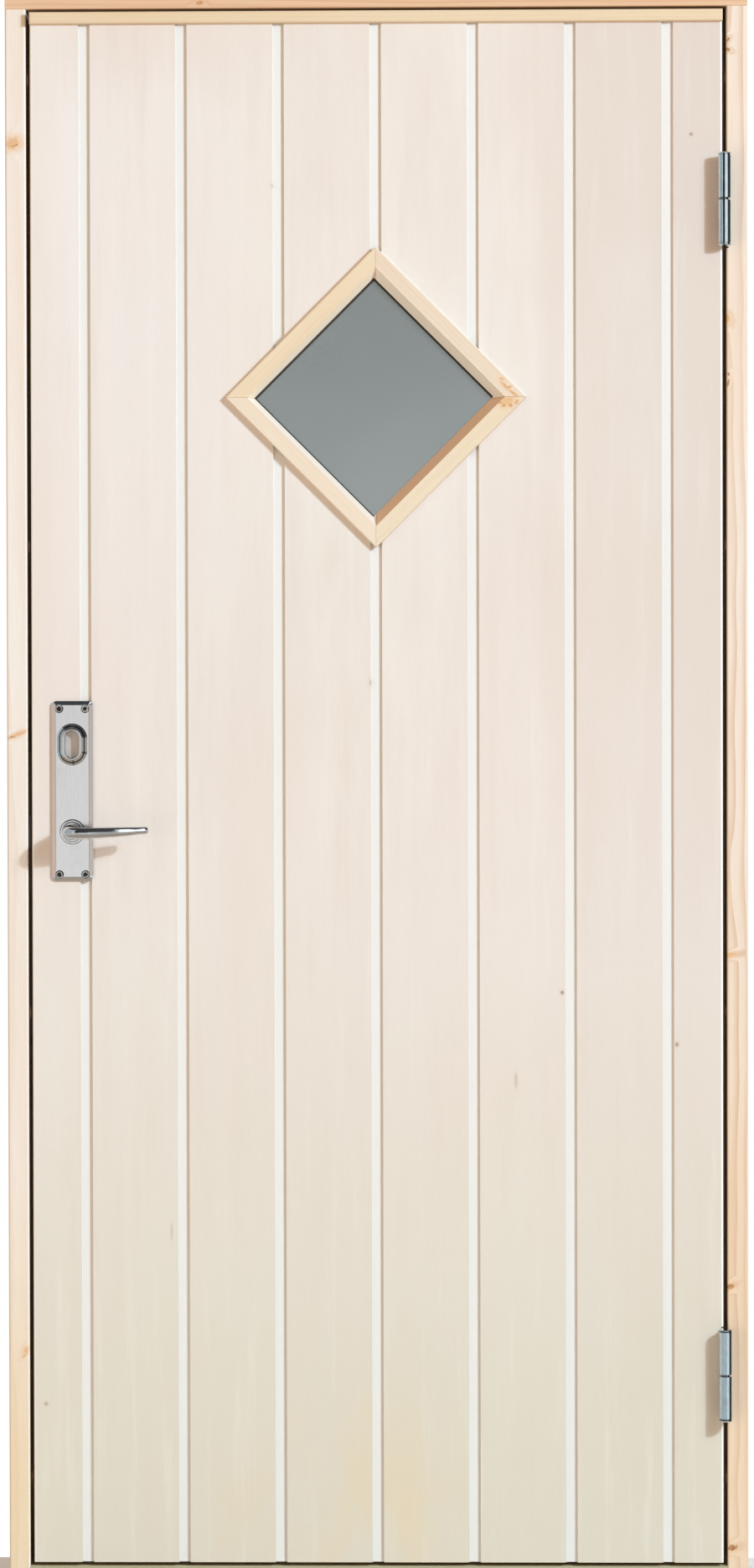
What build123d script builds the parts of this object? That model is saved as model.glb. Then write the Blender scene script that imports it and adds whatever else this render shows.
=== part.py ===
# Single-leaf shed door in its frame: outward-opening grooved leaf with a
# diamond window, a batten across the top, two lift-off hinges, a long lock
# plate with an oval ring and a lever on both sides.
# Millimetres. +X right and +Y into the building seen from outside, +Z up.
# The origin is the centre of the threshold's underside.
import os
from math import atan2, degrees

from build123d import *

# ---------------------------------------------------------------- dimensions
FRAME_W = 885.0          # frame, outside to outside
FRAME_D = 92.0           # frame depth
GAP = 5.2                # running gap round the leaf
LEAF_W = 825.0
LEAF_H = 1852.0
LEAF_T = 40.0
LEAF_Z0 = 23.2           # underside of the leaf
LEAF_PROUD = 3.0         # leaf face in front of the frame face
STOP_LAP = 12.0          # how far the stops reach over the leaf's edge
HEAD_FACE = 25.0         # height of the head seen from outside
LIP_H = LEAF_Z0 - GAP    # front lip of the threshold
EDGE_BEVEL = 2.2         # closing bevel of the lock edge, across the thickness

PANEL_T = 9.0            # grooved board on each face of the leaf
GROOVE_W = 13.6
GROOVE_D = 3.5
GROOVE_PITCH = 115.8
GROOVE_X0 = -0.2         # middle groove
STILE_HINGE = 70.0
STILE_LOCK = 95.0
RAIL_TOP = 70.0
RAIL_BOTTOM = 95.0

BATTEN_H = 14.0
BATTEN_T = 7.0

WIN_X = -0.3             # centre of the diamond window
WIN_Z = 1415.6
MOULD_OUT = 126.6        # half across flats, outside of the moulding
MOULD_IN = 108.6         # half across flats, inner edge of the flat face
MOULD_T = 8.0            # moulding stands off the leaf
BEAD_X = -3.0            # the bevel's foot sits a little to the left
BEAD_Z = 1416.7
BEAD_A = 200.9           # foot of the bevel, upper left to lower right
BEAD_B = 202.6           # foot of the bevel, lower left to upper right
TAPE_X = -2.3
TAPE_Z = 1415.3
TAPE_A = 198.4
TAPE_B = 198.7
GLASS_HALF = 107.0
GLASS_T = 4.0
LINING_IN = 104.0
LINING_T = 16.0

LOCK_X = -363.7          # spindle and oval ring
SPINDLE_Z = 898.5
RING_Z = 1003.0
PLATE_W = 49.5
PLATE_Z0 = 840.0
PLATE_H = 214.8
PLATE_T = 4.5
PLATE_BEVEL = 5.0        # width of the bevel round the plate
PLATE_BEVEL_T = 2.0      # its depth
PLATE_R = 6.0
SCREW_DX = 15.5
SCREW_EDGE = 8.5
SCREW_DROP = 0.8         # the four screws sit a little low
HEAD_R = 5.0
HEAD_SEAT = 0.7          # seat of the screw heads in the plate
RING_W, RING_H = 36.0, 50.0
HOLE_W, HOLE_H = 17.2, 33.3
RING_T = 6.0
COLLAR_R = 14.5
COLLAR_STEP_R = 11.8
NECK_R = 9.5

HINGE_H = 110.0
HINGE_R = 7.5
HINGE_X = 413.6
HINGE_STANDOFF = 16.0    # axis in front of the leaf face
HINGE_END = 227.6        # hinge centre to the nearer end of the leaf
HINGE_ZS = (LEAF_Z0 + HINGE_END, LEAF_Z0 + LEAF_H - HINGE_END)
SPLIT = 1.3              # half of the gap between the two knuckles
PIN_R = 4.5
PIN_CLEAR = 0.3
HPLATE_T = 2.5

# ------------------------------------------------------------ derived values
LX = LEAF_W / 2                       # 412.5
OX = LX + GAP                         # rebate face of the jambs
FX = FRAME_W / 2
SX = LX - STOP_LAP                    # inner edge of the stops
YF = -FRAME_D / 2                     # outer face of the frame
YB = FRAME_D / 2
Y0 = YF - LEAF_PROUD                  # outer face of the leaf
Y1 = Y0 + LEAF_T                      # inner face of the leaf
YS = Y1 + GAP                         # face of the stops
LEAF_Z1 = LEAF_Z0 + LEAF_H
HEAD_Z = LEAF_Z1 + GAP                # underside of the head
FRAME_H = HEAD_Z + HEAD_FACE
HINGE_Y = Y0 - HINGE_STANDOFF
SCREW_XZ = [(LOCK_X + sx * SCREW_DX, z) for sx in (-1, 1)
            for z in (PLATE_Z0 + SCREW_EDGE - SCREW_DROP, PLATE_Z0 + PLATE_H - SCREW_EDGE - SCREW_DROP)]
SHANK_R = 2.2
SHANK_HOLE_R = 2.35
YP0 = Y0 + PANEL_T                    # back of the outer board
YP1 = Y1 - PANEL_T                    # front of the inner board
GLASS_Y0 = Y0 + 8.0
GLASS_Y1 = GLASS_Y0 + GLASS_T
TAPE_Y0 = GLASS_Y0 - 1.5
EDGE_R = 2.4             # rounded arrises beside the gap

os.makedirs("parts", exist_ok=True)


def face_plane(y):
    """Plane facing outwards (-Y) at depth y, local axes along X and Z."""
    return Plane.XZ.offset(-y)


def save(shape, label):
    shape.label = label
    export_step(shape, "parts/" + label + ".step")


# ---------------------------------------------------------------- the frame
with BuildPart() as head:
    with BuildSketch(Plane.YZ):
        with Locations(((YF + YB) / 2, HEAD_Z + HEAD_FACE / 2)):
            Rectangle(FRAME_D, HEAD_FACE)
    extrude(amount=FX, both=True)
    fillet(head.edges().filter_by(Axis.X).group_by(Axis.Y)[0].group_by(Axis.Z)[0], 1.5)
save(head.part, "head_jamb")

# screw holes in both jambs, one line each side
FIX_ZS = (120.0, 680.0, 1240.0, 1800.0)
FIX_Y = -25.0
FIX_R = 7.0

with BuildPart() as hjamb:
    with BuildSketch(Plane.XY):
        with Locations(((OX + FX) / 2, (YF + YB) / 2)):
            Rectangle(FX - OX, FRAME_D)
    extrude(amount=HEAD_Z)
    fillet(hjamb.edges().filter_by(Axis.Z).group_by(Axis.Y)[0], EDGE_R)
    # housings for the lower halves of the hinges
    for hz in HINGE_ZS:
        with BuildSketch(Plane.XY.offset(hz - HINGE_H / 2)):
            with Locations((OX + HPLATE_T / 2, (YF - 4 + Y0 + 34.2) / 2)):
                Rectangle(HPLATE_T, Y0 + 34.2 - (YF - 4))
        extrude(amount=HINGE_H / 2 - SPLIT, mode=Mode.SUBTRACT)
    with BuildSketch(Plane.YZ.offset(OX - 1)):
        with Locations(*[(FIX_Y, z) for z in FIX_ZS]):
            Circle(FIX_R)
    extrude(amount=FX - OX + 2, mode=Mode.SUBTRACT)
save(hjamb.part, "hinge_jamb")

STRIKE_Z, STRIKE_H, STRIKE_W, STRIKE_T = 908.5, 170.0, 24.0, 2.0
LOCK_Y = (Y0 + Y1) / 2
with BuildPart() as ljamb:
    with BuildSketch(Plane.XY):
        with Locations((-(OX + FX) / 2, (YF + YB) / 2)):
            Rectangle(FX - OX, FRAME_D)
    extrude(amount=HEAD_Z)
    fillet(ljamb.edges().filter_by(Axis.Z).group_by(Axis.Y)[0], EDGE_R)
    with BuildSketch(Plane.YZ.offset(-OX)):
        with Locations((LOCK_Y, STRIKE_Z)):
            Rectangle(STRIKE_W, STRIKE_H)
    extrude(amount=-STRIKE_T, mode=Mode.SUBTRACT)
    with BuildSketch(Plane.YZ.offset(-OX)):
        with Locations((LOCK_Y, SPINDLE_Z)):
            Rectangle(15, 42)
    extrude(amount=-16, mode=Mode.SUBTRACT)
    with BuildSketch(Plane.YZ.offset(-FX - 1)):
        with Locations(*[(FIX_Y, z) for z in FIX_ZS]):
            Circle(FIX_R)
    extrude(amount=FX - OX + 2, mode=Mode.SUBTRACT)
save(ljamb.part, "lock_jamb")

# laths planted in the frame, which the closed leaf meets
STOP_BACK = 2.0          # the laths end short of the frame's inner face
STOP_W = OX - SX
with BuildPart() as stops:
    with BuildSketch(Plane.XY):
        with Locations((OX - STOP_W / 2, (YS + YB - STOP_BACK) / 2), (-OX + STOP_W / 2, (YS + YB - STOP_BACK) / 2)):
            Rectangle(STOP_W, YB - STOP_BACK - YS)
    extrude(amount=HEAD_Z - STOP_W)
    inner = stops.edges().filter_by(Axis.Z).filter_by(lambda e: abs(abs(e.center().X) - SX) < 0.01)
    chamfer(inner, 1.0)
with BuildPart() as head_stop:
    with BuildSketch(Plane.YZ):
        with Locations(((YS + YB - STOP_BACK) / 2, HEAD_Z - STOP_W / 2)):
            Rectangle(YB - STOP_BACK - YS, STOP_W)
    extrude(amount=OX, both=True)
    chamfer(head_stop.edges().filter_by(Axis.X).group_by(Axis.Z)[0], 1.0)
save(Compound(children=[*stops.part.solids(), *head_stop.part.solids()]), "door_stops")

with BuildPart() as strike:
    with BuildSketch(Plane.YZ.offset(-OX)):
        with Locations((LOCK_Y, STRIKE_Z)):
            Rectangle(STRIKE_W, STRIKE_H)
        with Locations((LOCK_Y, SPINDLE_Z)):
            Rectangle(14, 38, mode=Mode.SUBTRACT)
        with Locations((LOCK_Y, STRIKE_Z - 72), (LOCK_Y, STRIKE_Z + 72)):
            Circle(2.4, mode=Mode.SUBTRACT)
    extrude(amount=-STRIKE_T)
save(strike.part, "strike_plate")

with BuildPart() as sill:
    with BuildSketch(Plane.YZ):
        with BuildLine():
            Polyline((YF, 0), (YS, 0), (YS, LIP_H), (YF + 2, LIP_H), (YF, LIP_H - 2), close=True)
        make_face()
    extrude(amount=OX, both=True)
    with BuildSketch(Plane.YZ):
        with BuildLine():
            Polyline((YS, 0), (YB, 0), (YB, LEAF_Z0 + STOP_LAP - 3), (YB - 3, LEAF_Z0 + STOP_LAP),
                     (YS + 3, LEAF_Z0 + STOP_LAP), (YS, LEAF_Z0 + STOP_LAP - 3), close=True)
        make_face()
    extrude(amount=SX, both=True)
save(sill.part, "threshold")

# ------------------------------------------------------------- the leaf core


def edge_wedge():
    """Material to cut off the lock edge of the leaf, closing bevel."""
    with BuildPart() as w:
        with BuildSketch(Plane.XY.offset(LEAF_Z0 - 2)):
            with BuildLine():
                Polyline((-LX - 3, Y0 - 1), (-LX - 0.055, Y0 - 1), (-LX + EDGE_BEVEL, Y1), (-LX + EDGE_BEVEL + 0.055, Y1 + 1),
                         (-LX - 3, Y1 + 1), close=True)
            make_face()
        extrude(amount=LEAF_H + 4)
    return w.part


WEDGE = edge_wedge()


def diamond(half_a, half_b):
    """Square standing on its corner, in the current sketch."""
    Rectangle(2 * half_a, 2 * half_b, rotation=-45)


GROOVE_XS = [GROOVE_X0 + GROOVE_PITCH * k for k in range(-3, 4)]


def hinge_housings(y_lo, y_hi):
    """Pockets in the hinge edge for the upper halves of the hinges."""
    with BuildPart() as h:
        for hz in HINGE_ZS:
            with BuildSketch(Plane.XY.offset(hz + SPLIT)):
                with Locations((LX - HPLATE_T / 2 + 1, (y_lo + y_hi) / 2)):
                    Rectangle(HPLATE_T + 2, y_hi - y_lo)
            extrude(amount=HINGE_H / 2 - SPLIT)
    return h.part


HOUSE = hinge_housings(Y0 - 4, Y0 + 34.2)

with BuildPart() as outer:
    with BuildSketch(face_plane(YP0)):
        with Locations((0, LEAF_Z0 + LEAF_H / 2)):
            Rectangle(LEAF_W, LEAF_H)
    extrude(amount=PANEL_T)
    fillet(outer.edges().group_by(Axis.Y)[0].filter_by(Axis.Z), EDGE_R)
    with BuildSketch(face_plane(Y0)):
        with Locations(*[(x, LEAF_Z0 + LEAF_H / 2) for x in GROOVE_XS]):
            Rectangle(GROOVE_W, LEAF_H + 4)
    extrude(amount=-GROOVE_D, mode=Mode.SUBTRACT)
    with BuildSketch(face_plane(Y0 - 1)):
        with Locations((WIN_X, WIN_Z)):
            diamond(110.0, 110.0)
    extrude(amount=-PANEL_T - 2, mode=Mode.SUBTRACT)
    with BuildSketch(face_plane(Y0 - 1)):
        with Locations((LOCK_X, SPINDLE_Z)):
            Circle(11.0)
        with Locations(*SCREW_XZ):
            Circle(SHANK_HOLE_R)
    extrude(amount=-PANEL_T - 2, mode=Mode.SUBTRACT)
    add(WEDGE, mode=Mode.SUBTRACT)
    add(HOUSE, mode=Mode.SUBTRACT)
save(outer.part, "outer_panel")

with BuildPart() as inner:
    with BuildSketch(face_plane(Y1)):
        with Locations((0, LEAF_Z0 + LEAF_H / 2)):
            Rectangle(LEAF_W, LEAF_H)
    extrude(amount=PANEL_T)
    with BuildSketch(face_plane(Y1)):
        with Locations(*[(x, LEAF_Z0 + LEAF_H / 2) for x in GROOVE_XS]):
            Rectangle(GROOVE_W, LEAF_H + 4)
    extrude(amount=GROOVE_D, mode=Mode.SUBTRACT)
    with BuildSketch(face_plane(Y1 + 1)):
        with Locations((WIN_X, WIN_Z)):
            diamond(LINING_IN, LINING_IN)
    extrude(amount=PANEL_T + 2, mode=Mode.SUBTRACT)
    with BuildSketch(face_plane(Y1 + 1)):
        with Locations((LOCK_X, SPINDLE_Z)):
            Circle(11.0)
        with Locations(*SCREW_XZ):
            Circle(SHANK_HOLE_R)
    extrude(amount=PANEL_T + 2, mode=Mode.SUBTRACT)
    add(WEDGE, mode=Mode.SUBTRACT)
    add(HOUSE, mode=Mode.SUBTRACT)
save(inner.part, "inner_panel")

with BuildPart() as hstile:
    with BuildSketch(Plane.XY.offset(LEAF_Z0)):
        with Locations((LX - STILE_HINGE / 2, (YP0 + YP1) / 2)):
            Rectangle(STILE_HINGE, YP1 - YP0)
    extrude(amount=LEAF_H)
    add(HOUSE, mode=Mode.SUBTRACT)
save(hstile.part, "hinge_stile")

FOREND_W, FOREND_H, FOREND_T = 20.0, 200.0, 3.0
CASE_T, CASE_W, CASE_H = 14.0, 74.0, 150.0
CASE_Z = 933.5
with BuildPart() as lstile:
    with BuildSketch(Plane.XY.offset(LEAF_Z0)):
        with Locations((-LX + STILE_LOCK / 2, (YP0 + YP1) / 2)):
            Rectangle(STILE_LOCK, YP1 - YP0)
    extrude(amount=LEAF_H)
    add(WEDGE, mode=Mode.SUBTRACT)
    # housing of the forend plate and pocket of the lock case
    with BuildSketch(Plane.YZ.offset(-LX - 1)):
        with Locations((LOCK_Y, CASE_Z)):
            Rectangle(FOREND_W, FOREND_H)
    extrude(amount=1 + EDGE_BEVEL / 2 + FOREND_T, mode=Mode.SUBTRACT)
    with BuildSketch(Plane.YZ.offset(-LX - 1)):
        with Locations((LOCK_Y, CASE_Z)):
            Rectangle(CASE_T, CASE_H)
    extrude(amount=1 + EDGE_BEVEL / 2 + FOREND_T + CASE_W, mode=Mode.SUBTRACT)
    with BuildSketch(face_plane(YP0 - 1)):
        with Locations((LOCK_X, SPINDLE_Z)):
            Circle(11.0)
        with Locations(*SCREW_XZ):
            Circle(SHANK_HOLE_R)
    extrude(amount=-(YP1 - YP0) - 2, mode=Mode.SUBTRACT)
save(lstile.part, "lock_stile")

RAIL_X0, RAIL_X1 = -LX + STILE_LOCK, LX - STILE_HINGE
for rail_name, rz0, rh in (("top_rail", LEAF_Z1 - RAIL_TOP, RAIL_TOP), ("bottom_rail", LEAF_Z0, RAIL_BOTTOM)):
    with BuildPart() as rail:
        with BuildSketch(Plane.XY.offset(rz0)):
            with Locations(((RAIL_X0 + RAIL_X1) / 2, (YP0 + YP1) / 2)):
                Rectangle(RAIL_X1 - RAIL_X0, YP1 - YP0)
        extrude(amount=rh)
    save(rail.part, rail_name)

with BuildPart() as batten:
    with BuildSketch(face_plane(Y0)):
        with Locations((0, LEAF_Z1 - BATTEN_H / 2)):
            Rectangle(LEAF_W, BATTEN_H)
    extrude(amount=BATTEN_T)
    fillet(batten.edges().group_by(Axis.Y)[0], 2.0)
save(batten.part, "top_batten")

# ---------------------------------------------------------- diamond window
MITRE = 0.12            # half of the hairline at each mitre


def quadrant(sx, sz):
    """One quarter of space round the window's centre."""
    with BuildPart() as q:
        with BuildSketch(face_plane(Y1 + 60)):
            with Locations((WIN_X + sx * (150 + MITRE), WIN_Z + sz * (150 + MITRE))):
                Rectangle(300, 300)
        extrude(amount=160)
    return q.part


with BuildPart() as ring:
    with BuildSketch(face_plane(Y0)):
        with Locations((WIN_X, WIN_Z)):
            diamond(MOULD_OUT, MOULD_OUT)
    extrude(amount=MOULD_T)
    fillet(ring.edges().group_by(Axis.Y)[0], 1.4)
    with BuildSketch(face_plane(TAPE_Y0)):
        with Locations((WIN_X, WIN_Z)):
            diamond(109.6, 109.6)
    extrude(amount=TAPE_Y0 - Y0)
    with BuildSketch(face_plane(TAPE_Y0)):
        with Locations((BEAD_X, BEAD_Z)):
            Rectangle(BEAD_A, BEAD_B, rotation=-45)
    with BuildSketch(face_plane(Y0 - MOULD_T)):
        with Locations((WIN_X, WIN_Z)):
            diamond(MOULD_IN, MOULD_IN)
    loft(mode=Mode.SUBTRACT)
MOULD_RING = ring.part

with BuildPart() as iring:
    with BuildSketch(face_plane(Y1 + MOULD_T)):
        with Locations((WIN_X, WIN_Z)):
            diamond(MOULD_OUT, MOULD_OUT)
    extrude(amount=MOULD_T)
    fillet(iring.edges().group_by(Axis.Y)[-1], 1.4)
    with BuildSketch(face_plane(Y1)):
        with Locations((WIN_X, WIN_Z)):
            diamond(LINING_IN, LINING_IN)
    with BuildSketch(face_plane(Y1 + MOULD_T)):
        with Locations((WIN_X, WIN_Z)):
            diamond(MOULD_IN, MOULD_IN)
    loft(mode=Mode.SUBTRACT)
IN_RING = iring.part

with BuildPart() as lring:
    with BuildSketch(face_plane(YP1)):
        with Locations((WIN_X, WIN_Z)):
            diamond(LINING_IN + LINING_T, LINING_IN + LINING_T)
            Rectangle(2 * LINING_IN, 2 * LINING_IN, rotation=-45, mode=Mode.SUBTRACT)
    extrude(amount=YP1 - YP0)
    with BuildSketch(face_plane(GLASS_Y1)):
        with Locations((WIN_X, WIN_Z)):
            diamond(GLASS_HALF + 0.5, GLASS_HALF + 0.5)
    extrude(amount=GLASS_Y1 - YP0 + 1, mode=Mode.SUBTRACT)
LINE_RING = lring.part

SIDES = (("upper_left", -1, 1), ("upper_right", 1, 1), ("lower_right", 1, -1), ("lower_left", -1, -1))
for side, sx, sz in SIDES:
    q = quadrant(sx, sz)
    for ring_shape, prefix in ((MOULD_RING, "outer_moulding_"), (IN_RING, "inner_moulding_"), (LINE_RING, "window_lining_")):
        with BuildPart() as limb:
            add(ring_shape)
            add(q, mode=Mode.INTERSECT)
        save(limb.part, prefix + side)

with BuildPart() as tape:
    with BuildSketch(face_plane(GLASS_Y0)):
        with Locations((WIN_X, WIN_Z)):
            diamond(GLASS_HALF, GLASS_HALF)
        with Locations((TAPE_X, TAPE_Z)):
            Rectangle(TAPE_A, TAPE_B, rotation=-45, mode=Mode.SUBTRACT)
    extrude(amount=GLASS_Y0 - TAPE_Y0)
save(tape.part, "glazing_tape")

with BuildPart() as glass:
    with BuildSketch(face_plane(GLASS_Y1)):
        with Locations((WIN_X, WIN_Z)):
            diamond(GLASS_HALF, GLASS_HALF)
    extrude(amount=GLASS_T)
save(glass.part, "window_glass")

# -------------------------------------------------------------- lock fittings

def lock_plate():
    """Long plate with bevelled edges, its collar, ring seat and holes; outer side."""
    with BuildPart() as p:
        with BuildSketch(face_plane(Y0)):
            with Locations((LOCK_X, PLATE_Z0 + PLATE_H / 2)):
                RectangleRounded(PLATE_W, PLATE_H, PLATE_R)
        extrude(amount=PLATE_T - PLATE_BEVEL_T)
        with BuildSketch(face_plane(Y0 - PLATE_T + PLATE_BEVEL_T)):
            with Locations((LOCK_X, PLATE_Z0 + PLATE_H / 2)):
                RectangleRounded(PLATE_W, PLATE_H, PLATE_R)
        extrude(amount=PLATE_BEVEL_T, taper=degrees(atan2(PLATE_BEVEL, PLATE_BEVEL_T)))
        # stepped collar round the lever's neck
        with BuildSketch(face_plane(Y0 - PLATE_T)):
            with Locations((LOCK_X, SPINDLE_Z)):
                Circle(COLLAR_R)
        extrude(amount=2.2)
        chamfer(p.faces().sort_by(Axis.Y)[0].edges(), 0.9)
        with BuildSketch(face_plane(Y0 - PLATE_T)):
            with Locations((LOCK_X, SPINDLE_Z)):
                Circle(COLLAR_STEP_R)
        extrude(amount=3.8)
        chamfer(p.faces().sort_by(Axis.Y)[0].edges(), 0.6)
        with BuildSketch(face_plane(Y0 + 1)):
            with Locations((LOCK_X, SPINDLE_Z)):
                Circle(NECK_R + PIN_CLEAR)
            with Locations((LOCK_X, RING_Z)):
                SlotOverall(HOLE_H, HOLE_W, rotation=90)
            with Locations(*SCREW_XZ):
                Circle(SHANK_HOLE_R)
        extrude(amount=PLATE_T + 6, mode=Mode.SUBTRACT)
        with BuildSketch(face_plane(Y0 - PLATE_T - 0.5)):
            with Locations(*SCREW_XZ):
                Circle(HEAD_R + 0.2)
        extrude(amount=-HEAD_SEAT - 0.5, mode=Mode.SUBTRACT)
    return p.part


def oval_ring():
    with BuildPart() as r:
        with BuildSketch(face_plane(Y0 - PLATE_T)):
            with Locations((LOCK_X, RING_Z)):
                SlotOverall(RING_H, RING_W, rotation=90)
        extrude(amount=RING_T, taper=47)
        with BuildSketch(face_plane(Y0)):
            with Locations((LOCK_X, RING_Z)):
                SlotOverall(HOLE_H, HOLE_W, rotation=90)
        extrude(amount=PLATE_T + RING_T + 2, mode=Mode.SUBTRACT)
        crest = r.faces().sort_by(Axis.Y)[0]
        fillet(crest.outer_wire().edges(), 1.8)
        fillet(r.faces().sort_by(Axis.Y)[0].inner_wires()[0].edges(), 0.6)
    return r.part


def plate_screws():
    """Four raised countersunk heads with a cross recess, and their shanks."""
    with BuildPart() as s:
        with BuildSketch(face_plane(Y0 + 16)):
            with Locations(*SCREW_XZ):
                Circle(SHANK_R)
        extrude(amount=16 + PLATE_T)
        with BuildSketch(face_plane(Y0 - PLATE_T + HEAD_SEAT)):
            with Locations(*SCREW_XZ):
                Circle(HEAD_R)
        extrude(amount=HEAD_SEAT)
        with BuildSketch(face_plane(Y0 - PLATE_T)):
            with Locations(*SCREW_XZ):
                Circle(HEAD_R)
        extrude(amount=1.8, taper=35)
        with BuildSketch(face_plane(Y0 - PLATE_T - 1.9)):
            with Locations(*SCREW_XZ):
                Rectangle(4.6, 1.1, rotation=20)
                Rectangle(1.1, 4.6, rotation=20)
        extrude(amount=-1.4, mode=Mode.SUBTRACT)
    return s.part


def blank():
    """Oval blank that closes the cylinder hole behind the ring."""
    with BuildPart() as b:
        with BuildSketch(face_plane(Y0)):
            with Locations((LOCK_X, RING_Z)):
                SlotOverall(HOLE_H - 0.4, HOLE_W - 0.4, rotation=90)
        extrude(amount=1.2)
    return b.part


MID = Plane.XZ.offset(-(Y0 + Y1) / 2)
P_PLATE, P_RING, P_SCREWS, P_BLANK = lock_plate(), oval_ring(), plate_screws(), blank()
for shape, label in ((P_PLATE, "lock_plate"), (P_RING, "oval_ring"), (P_SCREWS, "plate_screws"), (P_BLANK, "cylinder_blank")):
    save(shape, "outer_" + label)
    save(mirror(shape, about=MID), "inner_" + label)

with BuildPart() as forend:
    with BuildSketch(Plane.YZ.offset(-LX - 1)):
        with Locations((LOCK_Y, CASE_Z)):
            Rectangle(FOREND_W, FOREND_H)
        with Locations((LOCK_Y, SPINDLE_Z)):
            Rectangle(12.6, 32.6, mode=Mode.SUBTRACT)
        with Locations((LOCK_Y, CASE_Z - 90), (LOCK_Y, CASE_Z + 90)):
            Circle(2.4, mode=Mode.SUBTRACT)
    extrude(amount=1 + EDGE_BEVEL / 2 + FOREND_T)
    add(WEDGE, mode=Mode.SUBTRACT)
save(forend.part, "lock_forend")

with BuildPart() as case:
    with BuildSketch(Plane.YZ.offset(-LX + EDGE_BEVEL / 2 + FOREND_T)):
        with Locations((LOCK_Y, CASE_Z)):
            Rectangle(CASE_T - 0.4, CASE_H - 0.4)
    extrude(amount=CASE_W - 1)
    with BuildSketch(Plane.YZ.offset(-LX)):
        with Locations((LOCK_Y, SPINDLE_Z)):
            Rectangle(12.8, 32.8)
    extrude(amount=34, mode=Mode.SUBTRACT)
    with BuildSketch(face_plane(Y0)):
        with Locations((LOCK_X, SPINDLE_Z)):
            Circle(7.0)
    extrude(amount=-LEAF_T, mode=Mode.SUBTRACT)
save(case.part, "lock_case")

with BuildPart() as latch:
    with BuildSketch(Plane.YZ.offset(-LX - 1)):
        with Locations((LOCK_Y, SPINDLE_Z)):
            Rectangle(12.0, 32.0)
    extrude(amount=1 + EDGE_BEVEL / 2 + FOREND_T + 28)
    add(WEDGE, mode=Mode.SUBTRACT)
save(latch.part, "latch_bolt")

# --------------------------------------------------------------- lever handle
# the arm is drawn through sections (x, y, direction, height, thickness)


def lever():
    with BuildPart() as v:
        # neck, turning in the collar
        with BuildSketch(face_plane(Y0 - 0.5)):
            with Locations((LOCK_X, SPINDLE_Z)):
                Circle(NECK_R)
        extrude(amount=31.5)
        secs = (
            (0.0, 32.0, 0.0, (0, -1, 0), 18.6, 18.6),
            (0.6, 40.0, 0.0, (0.18, -1, 0), 17.0, 16.0),
            (5.5, 47.5, -0.1, (0.85, -0.85, 0), 15.6, 14.0),
            (15.0, 50.5, -0.2, (1, -0.08, 0), 14.9, 12.4),
            (30.0, 50.0, -0.1, (1, 0.10, 0), 14.4, 11.8),
            (50.0, 47.0, 0.6, (1, 0.18, 0), 13.2, 11.2),
            (72.0, 42.4, 1.6, (1, 0.24, 0), 11.5, 10.4),
            (88.0, 38.5, 2.5, (1, 0.26, 0), 9.8, 9.4),
            (91.4, 37.6, 2.6, (1, 0.26, 0), 9.1, 8.7),
            (92.6, 37.3, 2.6, (1, 0.26, 0), 7.4, 7.0),
        )
        for dx, off, dz, d, h, t in secs:
            zdir = Vector(0, 0, 1)
            n = Vector(*d)
            pl = Plane(origin=(LOCK_X + dx, Y0 - off, SPINDLE_Z + dz), x_dir=zdir, z_dir=n)
            with BuildSketch(pl):
                Ellipse(h / 2, t / 2)
        loft()
    return v.part


P_LEVER = lever()
save(P_LEVER, "outer_lever")
save(mirror(P_LEVER, about=MID), "inner_lever")

with BuildPart() as spindle:
    with BuildSketch(face_plane(Y1 + 0.3)):
        with Locations((LOCK_X, SPINDLE_Z)):
            Rectangle(8, 8)
    extrude(amount=LEAF_T + 0.6)
save(spindle.part, "spindle")

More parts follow.
